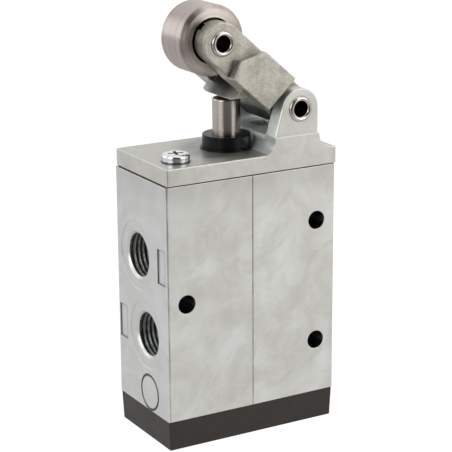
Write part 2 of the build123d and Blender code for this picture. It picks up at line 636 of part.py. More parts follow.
def make_pockets():
    """Scoops in both cheeks in front of the blocks, deeper towards the underside."""
    above = CHEEK_OUTER + POCKET_RADIUS
    shoulder = Vector(BLOCK_SHOULDER_U - POCKET_SETBACK, BLOCK_SHOULDER_W, above)
    toe = Vector(BLOCK_TOE_U - POCKET_SETBACK, BLOCK_BOTTOM_W, above - POCKET_DEPTH)
    scoop = Plane(origin=toe, z_dir=toe - shoulder) * Cylinder(POCKET_RADIUS, 4 * BLOCK_BOTTOM_W)
    front = LEVER_PLANE * scoop
    return front + mirror(front, Plane.XZ)


def make_lever():
    """The cast lever: two cheeks with proud blocks and notched tips, joined by a web with hub and nose."""
    lever = both_sides(cheek_outline(), CHEEK_INNER, CHEEK_OUTER, LEVER_PLANE, CHEEK_EDGE_RADIUS)
    lever -= make_pockets()
    notch = Pos(ARM_LENGTH + CHEEK_RADIUS, NOTCH_W) * Rectangle(2 * NOTCH_DEPTH, NOTCH_WIDTH)
    lever -= both_sides(notch, CHEEK_INNER - OVERRUN, CHEEK_INNER + NOTCH_REACH, LEVER_PLANE)
    lever += both_sides(block_outline(), CHEEK_INNER, BLOCK_OUTER, LEVER_PLANE, BLOCK_EDGE_RADIUS)
    lever += slab(tongue_outline(), -TONGUE_HALF, TONGUE_HALF, LEVER_PLANE)
    lever += make_nose()
    lever -= cross_pin(PIN_HOLE_RADIUS, PIVOT_X, PIVOT_Z, BODY_DEPTH)
    return lever - cross_pin(PIN_HOLE_RADIUS, AXLE.X, AXLE.Z, BODY_DEPTH)


def tubular_rivet(half_grip, rim_diameter):
    """A hollow rivet along Y with a rolled rim at both ends, centred on the origin."""
    tube = RIVET_DIAMETER / 2
    bore = RIVET_BORE / 2
    rim = rim_diameter / 2
    end = half_grip + RIVET_RIM_HEIGHT
    roll = (rim - bore) / 2
    outline = make_face([
        Polyline((bore, 0), (tube, 0), (tube, half_grip), (rim, half_grip)),
        ThreePointArc((rim, half_grip), (bore + roll, end), (bore, half_grip)),
        Line((bore, half_grip), (bore, 0)),
    ])
    half = revolve(outline, Axis.Y)
    return half + mirror(half, Plane.XZ)


def make_roller():
    """Turned steel roller with sloping shoulders and a shallow recess in each face."""
    half = ROLLER_WIDTH / 2
    radius = ROLLER_DIAMETER / 2
    tread = half - ROLLER_SHOULDER_WIDTH
    face = radius - ROLLER_SHOULDER_DROP
    profile = Polygon(
        (0, -half), (face, -half), (radius, -tread),
        (radius, tread), (face, half), (0, half),
        align=None,
    )
    rims = profile.vertices().filter_by(lambda corner: corner.X > 0)
    wheel = revolve(fillet(rims, ROLLER_EDGE_RADIUS), Axis.Y)
    recess = Circle(ROLLER_RECESS_DIAMETER / 2)
    wheel -= both_sides(recess, half - ROLLER_RECESS_DEPTH, half)
    wheel -= cross_pin(ROLLER_BUSH_DIAMETER / 2, 0, 0, half)
    return Pos(AXLE) * wheel


def make_roller_bush():
    """The bearing bush pressed into the roller, as long as the roller between its recesses."""
    half = ROLLER_WIDTH / 2 - ROLLER_RECESS_DEPTH
    bush = cross_pin(ROLLER_BUSH_DIAMETER / 2, 0, 0, half) - cross_pin(PIN_HOLE_RADIUS, 0, 0, half)
    return Pos(AXLE) * bush


def make_thrust_washers():
    """Thin washers between roller and cheeks."""
    outline = Circle(WASHER_DIAMETER / 2) - Circle(PIN_HOLE_RADIUS)
    pair = both_sides(outline, CHEEK_INNER - WASHER_THICKNESS, CHEEK_INNER)
    return Pos(AXLE) * pair


PARTS = {
    "valve_body": make_valve_body(),
    "base_cover": make_base_cover(),
    "base_seal": make_base_seal(),
    "base_screws": make_base_screws(),
    "top_gasket": make_top_gasket(),
    "top_cover": make_top_cover(),
    "cover_screws": make_cover_screws(),
    "guide_bush": make_guide_bush(),
    "rod_seal": make_rod_seal(),
    "upper_retainer": make_upper_retainer(),
    "lower_retainer": make_lower_retainer(),
    "spool_seals": make_spool_seals(),
    "supply_cage": make_cage(SUPPLY_Z),
    "outlet_cage": make_cage(OUTLET_Z),
    "exhaust_cage": make_cage(EXHAUST_Z),
    "spool": make_spool(),
    "plunger": make_plunger(),
    "plunger_clip": make_plunger_clip(),
    "spring_seat": make_spring_seat(),
    "return_spring": make_return_spring(),
    "lever": make_lever(),
    "pivot_rivet": Pos(PIVOT) * tubular_rivet(EAR_OUTER, PIVOT_RIM_DIAMETER),
    "roller_rivet": Pos(AXLE) * tubular_rivet(CHEEK_OUTER, ROLLER_RIM_DIAMETER),
    "roller": make_roller(),
    "roller_bush": make_roller_bush(),
    "thrust_washers": make_thrust_washers(),
}

os.makedirs("parts", exist_ok=True)
for node, shape in PARTS.items():
    export_step(shape, f"parts/{node}.step")
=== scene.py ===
"""Looks of the roller-lever valve: materials, thread turns, spring, light and camera."""
import math

import bmesh
import bpy
from mathutils import Matrix, Vector


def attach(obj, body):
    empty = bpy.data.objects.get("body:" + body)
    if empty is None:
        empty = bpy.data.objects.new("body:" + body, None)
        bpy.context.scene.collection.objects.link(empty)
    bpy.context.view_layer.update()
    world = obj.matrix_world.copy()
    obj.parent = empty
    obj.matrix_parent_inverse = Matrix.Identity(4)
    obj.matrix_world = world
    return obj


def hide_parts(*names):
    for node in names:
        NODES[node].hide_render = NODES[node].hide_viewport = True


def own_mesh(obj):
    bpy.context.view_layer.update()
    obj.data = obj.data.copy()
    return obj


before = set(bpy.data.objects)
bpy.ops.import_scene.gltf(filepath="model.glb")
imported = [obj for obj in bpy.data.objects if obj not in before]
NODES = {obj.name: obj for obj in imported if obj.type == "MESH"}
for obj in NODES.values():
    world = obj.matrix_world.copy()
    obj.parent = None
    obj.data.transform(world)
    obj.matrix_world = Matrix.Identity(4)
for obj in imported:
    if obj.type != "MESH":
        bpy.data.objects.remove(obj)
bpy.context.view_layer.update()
MM = 0.001

# Places and sizes that the CAD has, in millimetres
BODY_LEFT = -27.0
BODY_RIGHT = 26.1
PARTING_X = -0.45
MOUNT_HOLES = ((-21.05, 41.65), (20.15, 24.075), (20.15, 59.225))
MOUNT_HOLE_RADIUS = 2.6
OUTLET_Z = 41.25
PORT_PITCH = 10.8
PORT_SIDE = 2.4
RING_MARK = (-27.0, -3.5, 13.85)
RING_MARK_RADIUS = 4.95
PANELS = ((-11.5, 52.05), (11.5, 30.45))
PANEL_WIDTH = 4.1
PANEL_LENGTH = 9.5
COVER_SCREW = (-19.85, -7.3, 79.55)
EAR_GAP = 18.6
FOOT_TOP = 83.95
AXLE = (-7.3809, 0.0, 110.5893)
PIVOT = (15.1, 0.0, 91.15)
RIVET_BORE = 2.1
NOSE = (0.15, 0.0, 99.65)
NOSE_RADIUS = 6.0
NOSE_HALF = 9.0
PLUNGER_AXIS = (0.0, 0.0, 0.0)

# Each port's name, the face that it opens in, its place along Y and its height
PORTS = (
    ("supply", BODY_LEFT, -PORT_SIDE, OUTLET_Z - PORT_PITCH),
    ("exhaust", BODY_LEFT, PORT_SIDE, OUTLET_Z + PORT_PITCH),
    ("outlet", BODY_RIGHT, 0.0, OUTLET_Z),
)

# Thread turns inside the ports, in millimetres, with depths from the port's face
THREAD_PITCH = 1.337
CREST_RADIUS = 6.02
ROOT_RADIUS = 6.5
ROOT_FLAT = 0.12
FLANKS = 0.76
SLEEVE_RADIUS = 6.574
SLEEVE_START = 0.272
SLEEVE_END = 11.9
SLEEVE_EDGE = 0.02
MOUTH_DEPTH = 0.8
MOUTH_FADE = 0.7
THREAD_STEPS = 96
DEPTH_STEPS_PER_TURN = 12

# Looks are placed in millimetres. A pair called LINE or BAND is a half width and the soft rim
# beyond it. The other pairs are where a look starts and where it is full.

# The block's looks, with the tilt of its sweeps in degrees
SWEEP_TILT = 40.0
SHADED_TOP = (61.0, 76.0)
PARTING_LINE = (0.12, 0.1)
SPOTFACE_EDGE = (9.9, 9.7)
SPOTFACE_BAND = (0.6, 0.05)
SPOTFACE_RINGS = 0.25
HOLE_WALL = (MOUNT_HOLE_RADIUS + 0.06, MOUNT_HOLE_RADIUS + 0.02)
RING_LINE = (0.36, 0.08)
PANEL_OUTSIDE = 0.14
PANEL_INSIDE = -0.1
PANEL_SOFT = 0.06
MARK_BAND = (0.4, 0.05)
RIM_LINE = (0.12, 0.12)
RIM_X = BODY_LEFT + 0.5

# The cover's looks: painted dark reflection and shade round the plunger's bush, which fades out away
# from the plunger and to the right
BUSH_SHADE_REACH = (17.0, 9.0)
BUSH_SHADE_X = (11.0, 6.0)
SCREW_SHADOW = (4.4, 3.9)
WALL_LIGHT_X = (3.0, 5.0)
LEDGE_Y = (EAR_GAP / 2 + 0.2, EAR_GAP / 2 - 0.2)
LEDGE_Z = (FOOT_TOP - 1.8, FOOT_TOP - 0.3)

# The lever's looks, from its nose
NOSE_WALL = (NOSE_RADIUS + 0.5, NOSE_RADIUS + 0.1)
NOSE_SIDES = (NOSE_HALF + 0.2, NOSE_HALF + 0.1)
NOSE_DARK_SPOT = (9.0, 2.0)
UNDERSIDE_X = (6.0, 8.0)

# Other pieces' looks
TURNING_RINGS = 0.12
RECESS_RADIUS = 6.3
RECESS_HALF = 5.94
RECESS_WALL = (RECESS_RADIUS + 0.05, RECESS_RADIUS - 0.03)
RECESS_SIDES = (RECESS_HALF, RECESS_HALF - 0.03)
RIVET_WALL = (RIVET_BORE + 0.08, RIVET_BORE + 0.02)
SCREW_SEAT = COVER_SCREW[2] + 0.05
CONTACT_SHADE_LINE = (0.3, 0.15)
TEAL_LIGHT_X = (0.0, 5.0)
TEAL_LIGHT_Z = (SCREW_SEAT + 1.0, SCREW_SEAT + 2.0)
MOUTH_SHINE = (MOUTH_DEPTH + 0.1, MOUTH_DEPTH)

# The cast edges: the radius that rounds them in the light, and the share of painted highlight and bare
# worn metal that they show as this turns the normal
EDGE_RADIUS = 0.22
EDGE_TURN = (0.985, 0.9)
EDGE_HIGHLIGHT_SHARE = 0.6

# Shares of open space round a place: all painted shade, and none left
OPEN_SHARES = (0.15, 0.85)

# Rays that feel for edges and for crevices
RAY_SAMPLES = 6

# How much turned steel spreads its gloss, and the quarter turn that lays it across the grooves
GROOVED_GLOSS = 0.85
GROOVED_TURN = 0.25

# Shares of metal in the surface
CAST_METALLIC = 0.85
COVER_METALLIC = 0.75
LEDGE_METALLIC = 0.1
TAPPED_METALLIC = 0.95

# Colours, each channel from 0 to 255
EDGE_HIGHLIGHT_TONE = (244, 243, 238)
TOP_SHADE_TONE = (168, 166, 159)
LEFT_FACE_LIGHT_TINT = (206, 206, 212)
SPOTFACE_TONE = (204, 203, 200)
PARTING_TONE = (74, 69, 64)
HOLE_SHADE_TONE = (52, 50, 48)
MARK_AND_SHADE_TONE = (58, 57, 54)
EDGE_REFLECTION_TONE = (112, 98, 88)
BUSH_SHADE_TONE = (84, 86, 84)
SCREW_SHADOW_TONE = (52, 60, 56)
WALL_LIGHT_TONE = (246, 252, 248)
LEDGE_LIGHT_TONE = (222, 232, 228)
NOSE_SHEEN_TONE = (188, 187, 178)
NOSE_REFLECTION_TONE = (94, 93, 87)
UNDERSIDE_SHADE_TONE = (66, 65, 61)
RECESS_SHADE_TONE = (30, 27, 25)
CONTACT_SHADE_TONE = (44, 52, 48)
TEAL_LIGHT_TONE = (158, 168, 163)
BORE_TONE = (34, 30, 28)
THREAD_SHADE_TONES = ((128, 131, 128), (92, 95, 93))
MOUTH_TONE = (206, 206, 201)
PALEST = 250

# Studio, in metres
WHITE = (1.0, 1.0, 1.0)
WORLD_LEVEL = 0.35
FLOOR_HALF = 3.0
FLOOR_ALBEDO = 0.3
FLOOR_GLOW = 0.9
FLOOR_MIRRORED = 0.6
FLOOR_DARK_FROM = (0.1, 0.22)
DARK_AZIMUTH = math.radians(248)
DARK_INNER = math.radians(20)
DARK_OUTER = math.radians(52)
DARK_LEVEL = 0.06

# Each lamp's name, place, aim, side, power and tint
LAMPS = (
    ("lamp_top", (0.05, -0.15, 0.75), (0.0, 0.0, 0.06), 0.6, 1.0, WHITE),
    ("lamp_left", (-0.7, -0.19, 0.35), (0.0, 0.0, 0.06), 0.5, 1.7, WHITE),
    ("lamp_right", (0.45, -0.7, 0.3), (0.0, 0.0, 0.06), 0.5, 2.0, WHITE),
    ("lamp_back", (-0.55, 0.55, 0.35), (0.0, 0.0, 0.08), 0.5, 0.7, (0.9, 0.96, 1.0)),
)

# Camera: place, aim, lens and sensor width in millimetres, roll in degrees, clip in metres
CAMERA_PLACE = (-225.50, -390.80, 186.69)
CAMERA_TARGET = (-0.32, 0.0, 56.92)
CAMERA_ROLL = -0.39
CAMERA_CLIP = (0.01, 20.0)
LENS = 133.8
SENSOR = 36.0


# ---------------------------------------------------------------- node trees
def in_metres(point):
    return tuple(c * MM for c in point)


def linear(channel):
    share = channel / 255.0
    return share / 12.92 if share <= 0.04045 else ((share + 0.055) / 1.055) ** 2.4


def colour(rgb):
    return tuple(linear(c) for c in rgb) + (1.0,)


def shifted(rgb, step):
    """A colour made lighter or darker by a step, and never quite white."""
    return tuple(min(c + step, PALEST) for c in rgb)


class Nodes:
    """A short way to write a node tree: nearly every method adds a node and gives its output."""

    def __init__(self, owner, output_kind):
        owner.use_nodes = True
        self.owner = owner
        self.tree = owner.node_tree
        self.tree.nodes.clear()
        self.output = self.node(output_kind)
        self.texture = self.node("ShaderNodeTexCoord")
        self.coords = self.texture.outputs["Object"]

    def node(self, kind, **settings):
        made = self.tree.nodes.new(kind)
        for key, value in settings.items():
            setattr(made, key, value)
        return made

    def plug(self, socket, value):
        if isinstance(value, bpy.types.NodeSocket):
            self.tree.links.new(value, socket)
        else:
            socket.default_value = value

    def plug_all(self, made, values):
        """The first output of a node, once its first inputs have these values."""
        for socket, value in zip(made.inputs, values):
            self.plug(socket, value)
        return made.outputs[0]

    def surface(self, shader):
        """What owns the tree, once the shader is its surface."""
        self.plug(self.output.inputs["Surface"], shader)
        return self.owner

    def math(self, operation, *values, clamp=False):
        return self.plug_all(self.node("ShaderNodeMath", operation=operation, use_clamp=clamp), values)

    def plus(self, a, b):
        return self.math("ADD", a, b)

    def minus(self, a, b, clamp=False):
        return self.math("SUBTRACT", a, b, clamp=clamp)

    def times(self, a, b, clamp=False):
        return self.math("MULTIPLY", a, b, clamp=clamp)

    def unsigned(self, value):
        return self.math("ABSOLUTE", value)

    def vector(self, operation, *values):
        made = self.node("ShaderNodeVectorMath", operation=operation)
        first = self.plug_all(made, values)
        return made.outputs["Value"] if operation in ("LENGTH", "DOT_PRODUCT") else first

    def split(self, vector):
        made = self.node("ShaderNodeSeparateXYZ")
        self.plug(made.inputs[0], vector)
        return tuple(made.outputs)

    def join(self, x, y, z):
        return self.plug_all(self.node("ShaderNodeCombineXYZ"), (x, y, z))

    def noise(self, size, coords=None, stretch=(1.0, 1.0, 1.0), detail=4.0, rough=0.55, offset=0.0,
              warp=0.0):
        """Noise from about 0.3 to 0.7, with features of a size in millimetres."""
        placed = self.node("ShaderNodeMapping")
        self.plug(placed.inputs["Vector"], coords or self.coords)
        placed.inputs["Location"].default_value = (offset, offset * 1.7, offset * 2.3)
        placed.inputs["Scale"].default_value = tuple(1.0 / (size * MM * s) for s in stretch)
        made = self.node("ShaderNodeTexNoise")
        self.plug(made.inputs["Vector"], placed.outputs[0])
        made.inputs["Scale"].default_value = 1.0
        made.inputs["Detail"].default_value = detail
        made.inputs["Roughness"].default_value = rough
        made.inputs["Distortion"].default_value = warp
        return made.outputs["Fac"]

    def tilted(self, degrees):
        """The coordinates turned about Y, to lay streaks aslant."""
        made = self.node("ShaderNodeVectorRotate", rotation_type="Y_AXIS")
        self.plug(made.inputs["Vector"], self.coords)
        made.inputs["Angle"].default_value = math.radians(degrees)
        return made.outputs[0]

    def spread(self, value, low, high, to_low=0.0, to_high=1.0, smooth=True):
        """A value's place between low and high, as a number from to_low to to_high."""
        made = self.node("ShaderNodeMapRange")
        made.interpolation_type = "SMOOTHSTEP" if smooth else "LINEAR"
        return self.plug_all(made, (value, low, high, to_low, to_high))

    def fade(self, value, low, high, to_low=0.0, to_high=1.0):
        """A spread of a length, between limits in millimetres."""
        return self.spread(value, low * MM, high * MM, to_low, to_high)

    def band(self, value, centre, half, soft):
        """1 within half of a centre, fading out over soft, all in millimetres."""
        return self.fade(self.unsigned(self.minus(value, centre * MM)), half + soft, half)

    def around(self, centre, axis):
        """Distance from an axis through a centre in millimetres, itself in metres."""
        place = list(self.split(self.vector("SUBTRACT", self.coords, in_metres(centre))))
        place["xyz".index(axis)] = 0.0
        return self.vector("LENGTH", self.join(*place))

    def mix(self, share, a, b):
        made = self.node("ShaderNodeMix", data_type="RGBA", blend_type="MIX")
        self.plug(made.inputs["Factor"], share)
        self.plug(made.inputs["A"], colour(a) if isinstance(a, tuple) else a)
        self.plug(made.inputs["B"], colour(b) if isinstance(b, tuple) else b)
        return made.outputs["Result"]

    def tint(self, base, place, tone, share):
        """The base with a tone laid over it by a share, where the place is 1."""
        return self.mix(self.times(place, share), base, tone)

    def bump(self, height, depth, normal=None):
        """A bump whose height of 1 stands that many millimetres."""
        made = self.node("ShaderNodeBump")
        made.inputs["Strength"].default_value = 1.0
        made.inputs["Distance"].default_value = depth * MM
        self.plug(made.inputs["Height"], height)
        if normal is not None:
            self.plug(made.inputs["Normal"], normal)
        return made.outputs[0]

    def soft_edges(self, radius):
        """A normal that rounds the solids' sharp edges by a radius in millimetres."""
        made = self.node("ShaderNodeBevel", samples=RAY_SAMPLES)
        made.inputs["Radius"].default_value = radius * MM
        return made.outputs[0]

    def crevices(self, base, reach, floor):
        """A colour darkened by painted shade where faces stand within a reach in millimetres."""
        made = self.node("ShaderNodeAmbientOcclusion", samples=RAY_SAMPLES)
        made.inputs["Distance"].default_value = reach * MM
        unshaded = self.spread(made.outputs["AO"], *OPEN_SHARES, floor, 1.0)
        return self.mix(unshaded, (0, 0, 0), base)

    def finish(self, base, metallic, roughness, normal, grooves=None, specular=0.5):
        bsdf = self.node("ShaderNodeBsdfPrincipled")
        self.plug(bsdf.inputs["Base Color"], base)
        self.plug(bsdf.inputs["Metallic"], metallic)
        self.plug(bsdf.inputs["Roughness"], roughness)
        self.plug(bsdf.inputs["Normal"], normal)
        bsdf.inputs["Specular IOR Level"].default_value = specular
        if grooves is not None:
            tangent = self.node("ShaderNodeTangent", direction_type="RADIAL", axis=grooves)
            self.plug(bsdf.inputs["Tangent"], tangent.outputs[0])
            bsdf.inputs["Anisotropic"].default_value = GROOVED_GLOSS
            bsdf.inputs["Anisotropic Rotation"].default_value = GROOVED_TURN
        return self.surface(bsdf.outputs[0])


def new_material(name):
    return Nodes(bpy.data.materials.new(name), "ShaderNodeOutputMaterial")


# ---------------------------------------------------------------- cast metal
def add_sweeps(s, base, pale, dark, size, offset):
    """Broad sweeps that rise to the right of the front, pale and dark."""
    swept = s.noise(size * 0.55, coords=s.tilted(SWEEP_TILT), stretch=(2.1, 2.4, 1.1), detail=5.0,
                    rough=0.5, offset=offset + 9.0, warp=1.1)
    base = s.mix(s.spread(swept, 0.52, 0.68, 0.0, 0.26), base, shifted(pale, 10))
    return s.mix(s.spread(swept, 0.48, 0.34, 0.0, 0.42), base, shifted(dark, -10))


def add_wisps(s, base, pale, size, offset):
    """Thin pale curls, along the line where a wide noise is at its middle."""
    wide = s.noise(size * 1.6, stretch=(1.0, 1.0, 0.6), detail=7.0, rough=0.5, offset=offset + 7.0,
                   warp=2.2)
    wisps = s.spread(s.unsigned(s.minus(wide, 0.5)), 0.05, 0.0)
    return s.tint(base, wisps, shifted(pale, 18), 0.13)


def add_block_details(s, base, height, streaks, broken):
    """The block's top with painted shade under the cover, broken parting line, turned spotfaces, and
    fixing holes with painted shade inside.
    """
    x, _, z = s.split(s.coords)
    # Painted shade on the block's top, under the cover
    shaded = s.times(s.fade(z, *SHADED_TOP), s.spread(streaks, 0.3, 0.7, 0.3, 0.6))
    base = s.mix(shaded, base, TOP_SHADE_TONE)
    base = s.tint(base, s.band(x, PARTING_X, *PARTING_LINE), PARTING_TONE, broken)
    for _, face, side, level in PORTS:
        away = s.around((face, side, level), "x")
        turned = s.times(s.fade(away, *SPOTFACE_EDGE), s.band(x, face, *SPOTFACE_BAND))
        rings = s.noise(SPOTFACE_RINGS, coords=s.join(away, 0.0, 0.0), detail=2.0)
        base = s.tint(base, turned, SPOTFACE_TONE, 0.3)
        height = s.plus(height, s.times(turned, s.times(rings, 0.6)))
    # Painted shade on the walls inside the fixing holes
    for hole_x, hole_z in MOUNT_HOLES:
        away = s.around((hole_x, 0.0, hole_z), "y")
        base = s.mix(s.fade(away, *HOLE_WALL), base, HOLE_SHADE_TONE)
    return base, height


def add_block_marks(s, base, facing_y, broken):
    """Dark lines on the block: the ring mark near its foot, painted shade along the panels' recessed
    outlines, and a painted dark reflection along an upright edge.
    """
    x, y, z = s.split(s.coords)
    on_face = s.band(x, BODY_LEFT, *MARK_BAND)
    ring = s.band(s.around(RING_MARK, "x"), RING_MARK_RADIUS, *RING_LINE)
    marks = s.times(s.times(ring, on_face), 0.85)
    # The panels' outlines are painted shade along their recessed walls
    for panel_y, panel_z in PANELS:
        within = []
        for growth in (PANEL_OUTSIDE, PANEL_INSIDE):
            across = s.band(y, panel_y, PANEL_WIDTH / 2 + growth, PANEL_SOFT)
            up = s.band(z, panel_z, PANEL_LENGTH / 2 + growth, PANEL_SOFT)
            within.append(s.times(across, up))
        outline = s.times(s.minus(*within, clamp=True), on_face)
        marks = s.math("MAXIMUM", marks, s.times(outline, 0.7))
    base = s.mix(marks, base, MARK_AND_SHADE_TONE)
    # Painted dark reflection along the rounded upright edge at the left of the front
    rim = s.times(s.band(x, RIM_X, *RIM_LINE), s.spread(facing_y, -0.8, -0.95))
    return s.tint(base, rim, EDGE_REFLECTION_TONE, s.times(broken, 0.6))


def add_lever_painted_light(s, base, clouds):
    """The lever's nose, with painted sheen at its ends and a painted dark reflection in its middle, and
    its underside darkened by painted shade.
    """
    x, y, z = s.split(s.vector("SUBTRACT", s.coords, in_metres(NOSE)))
    near = s.fade(s.vector("LENGTH", s.join(x, 0.0, z)), *NOSE_WALL)
    inner = s.fade(s.unsigned(y), *NOSE_SIDES)
    # Painted sheen at the nose's ends and a painted dark reflection in its middle
    dark_reflection = s.fade(s.unsigned(s.minus(y, s.times(clouds, MM))), *NOSE_DARK_SPOT)
    base = s.tint(base, near, s.mix(dark_reflection, NOSE_SHEEN_TONE, NOSE_REFLECTION_TONE), inner)
    # Painted shade on the lever's downward faces right of the nose
    upward = s.split(s.texture.outputs["Normal"])[2]
    under = s.times(s.spread(upward, -0.3, -0.6), s.fade(x, *UNDERSIDE_X))
    return s.tint(base, under, UNDERSIDE_SHADE_TONE, 0.75)


def add_cover_details(s, base, facing_x, facing_z):
    """The cover's painted dark reflection and shade round the plunger's bush, painted shadow round a
    screw, painted light on left-facing walls and on the pale ledge, and the ledge's share.

    The ledge is the top of the ears' foot, between the ears.
    """
    x, y, z = s.split(s.coords)
    level = s.spread(facing_z, 0.9, 0.98)
    # Painted dark reflection and shade on the cover round the plunger's bush
    bush_shade = s.fade(s.around(PLUNGER_AXIS, "z"), *BUSH_SHADE_REACH, 0.14, 0.58)
    bush_shade = s.times(bush_shade, s.fade(x, *BUSH_SHADE_X))
    base = s.tint(base, bush_shade, BUSH_SHADE_TONE, level)
    # Painted shadow on the cover round the screw head
    screw_shadow = s.fade(s.around(COVER_SCREW, "z"), *SCREW_SHADOW, 0.0, 0.5)
    base = s.tint(base, screw_shadow, SCREW_SHADOW_TONE, level)
    # Painted light on the left-facing walls right of the plunger
    wall_light = s.times(s.spread(facing_x, -0.1, -0.4), s.fade(x, *WALL_LIGHT_X))
    base = s.tint(base, wall_light, WALL_LIGHT_TONE, 0.9)
    # Painted light on the ledge between the ears
    ledge = s.times(s.fade(s.unsigned(y), *LEDGE_Y), s.fade(z, *LEDGE_Z))
    return s.tint(base, ledge, LEDGE_LIGHT_TONE, 0.95), ledge


def cast_metal(name, pale, dark, part, size, offset=0.0, speckle=0.25, metallic=CAST_METALLIC,
               matt=0.36, reach=3.0, shade_floor=0.35):
    """Tumbled die-cast metal: cloudy light and dark patches, fine grain, slightly uneven gloss.

    The part is block, cover or lever. Size is that of its patches and reach is how near to other faces
    it is darkened by painted shade, both in millimetres. Its edges are lightened, as bare worn metal
    and as painted highlight.
    """
    s = new_material(name)
    clouds = s.noise(size, detail=5.0, rough=0.6, offset=offset, warp=0.7)
    streaks = s.noise(size * 0.6, stretch=(1.0, 1.0, 4.0), offset=offset + 3.0, warp=0.4)
    grain = s.noise(0.35, detail=3.0, rough=0.7, offset=offset)
    tone = s.plus(s.times(clouds, 0.65), s.times(streaks, 0.35))
    tone = s.plus(tone, s.times(s.minus(grain, 0.5), speckle))
    base = s.mix(s.spread(tone, 0.36, 0.64), dark, pale)
    if part == "block":
        base = add_sweeps(s, base, pale, dark, size, offset)
    base = add_wisps(s, base, pale, size, offset)
    rough = s.spread(s.plus(clouds, s.times(grain, 0.4)), 0.5, 0.9, matt, matt + 0.14)
    height = s.plus(grain, s.times(s.noise(2.2, detail=3.0, offset=offset), 2.0))
    if part == "block":
        gaps = s.noise(3.0, stretch=(1.0, 1.0, 2.0), detail=3.0, offset=5.0)
        broken = s.spread(gaps, 0.4, 0.6, 0.5, 0.95)
        base, height = add_block_details(s, base, height, streaks, broken)
    if part == "lever":
        base = add_lever_painted_light(s, base, clouds)
    # Painted shade where other faces stand near, in crevices and under parts
    base = s.crevices(base, reach, shade_floor)
    soft = s.soft_edges(EDGE_RADIUS)
    flat = s.node("ShaderNodeNewGeometry").outputs["Normal"]
    facing_x, facing_y, facing_z = s.split(flat)
    edges = s.spread(s.vector("DOT_PRODUCT", soft, flat), *EDGE_TURN)
    # Painted cool light on the block's left face
    if part == "block":
        base = s.mix(s.spread(facing_x, -0.9, -0.98, 0.0, 0.35), base, LEFT_FACE_LIGHT_TINT)
    if part == "cover":
        base, ledge = add_cover_details(s, base, facing_x, facing_z)
        metallic = s.spread(ledge, 0.0, 1.0, metallic, LEDGE_METALLIC)
        edges = s.times(edges, s.minus(1.3, ledge), clamp=True)
    # Painted highlight along the rounded edges, with bare worn metal
    base = s.tint(base, edges, EDGE_HIGHLIGHT_TONE, EDGE_HIGHLIGHT_SHARE)
    if part == "block":
        base = add_block_marks(s, base, facing_y, broken)
    return s.finish(base, metallic, rough, s.bump(height, 0.012, soft))


# ---------------------------------------------------------------- other materials
def turned_steel(name, pale, dark, centre, axis, depth, roughness=(0.3, 0.4), recess=False):
    """Turned or ground steel: grooves round its axis spread the gloss across them, with faint rings.

    With a recess, its sunk faces are darkened by painted shade.
    """
    s = new_material(name)
    away = s.around(centre, axis)
    along = s.split(s.coords)["xyz".index(axis)]
    lathe = s.join(away, along, 0.0)
    rings = s.noise(TURNING_RINGS, coords=lathe, detail=3.0, rough=0.7)
    broad = s.noise(TURNING_RINGS * 9, coords=lathe, detail=2.0, offset=4.0)
    smudge = s.noise(5.0, offset=2.0)
    tone = s.plus(s.times(rings, 0.2), s.times(s.plus(broad, smudge), 0.4))
    base = s.mix(s.spread(tone, 0.36, 0.62), dark, pale)
    if recess:
        # Painted shade in the roller's face recess
        within = s.times(s.fade(away, *RECESS_WALL), s.fade(s.unsigned(along), *RECESS_SIDES))
        base = s.mix(within, base, RECESS_SHADE_TONE)
    rough = s.spread(smudge, 0.3, 0.7, *roughness)
    return s.finish(base, 1.0, rough, s.bump(rings, depth), grooves=axis.upper())


def plain_metal(name, pale, dark, roughness, size=1.2, depth=0.004, bores=(), heads=False):
    """Plated or drawn metal with faint patches.

    Bores are the centres of the rivets' dark holes along Y. Heads are those of the cover's screws: a
    painted contact shadow goes under them, and the one on the right is painted pale teal-grey like the
    lit ledge round it.
    """
    s = new_material(name)
    patches = s.noise(size)
    fine = s.noise(0.12, detail=2.0, offset=3.0)
    base = s.mix(s.spread(patches, 0.35, 0.65), dark, pale)
    rough = s.spread(patches, 0.3, 0.7, roughness * 0.8, roughness * 1.25)
    if heads:
        x, _, z = s.split(s.coords)
        # Painted contact shadow under the screw heads
        base = s.tint(base, s.band(z, SCREW_SEAT, *CONTACT_SHADE_LINE), CONTACT_SHADE_TONE, 0.85)
        # Painted pale teal light on the screw head between the ears, like the lit ledge round it; it is
        # also made rougher
        teal_light = s.times(s.fade(x, *TEAL_LIGHT_X), s.fade(z, *TEAL_LIGHT_Z))
        base = s.tint(base, teal_light, TEAL_LIGHT_TONE, 0.8)
        rough = s.plus(rough, s.times(teal_light, 0.35))
    for centre in bores:
        inside = s.fade(s.around(centre, "y"), *RIVET_WALL)
        base = s.mix(inside, base, BORE_TONE)
        rough = s.plus(rough, s.times(inside, 0.3))
    return s.finish(base, 1.0, rough, s.bump(s.plus(patches, s.times(fine, 0.3)), depth))


def tapped_metal(name):
    """Tapped metal: bright where the mouth is countersunk, and darkened by painted shade on the turns
    further into the port.
    """
    s = new_material(name)
    x = s.split(s.coords)[0]
    deep = s.math("MINIMUM", s.minus(x, BODY_LEFT * MM), s.minus(BODY_RIGHT * MM, x))
    patches = s.noise(1.5, detail=3.0)
    pale, dark = THREAD_SHADE_TONES
    # Painted shade on the thread turns inside the port
    shaded_turns = s.mix(s.spread(patches, 0.35, 0.65), dark, pale)
    base = s.mix(s.fade(deep, *MOUTH_SHINE), shaded_turns, MOUTH_TONE)
    rough = s.spread(patches, 0.3, 0.7, 0.34, 0.42)
    return s.finish(base, TAPPED_METALLIC, rough, s.bump(patches, 0.002))


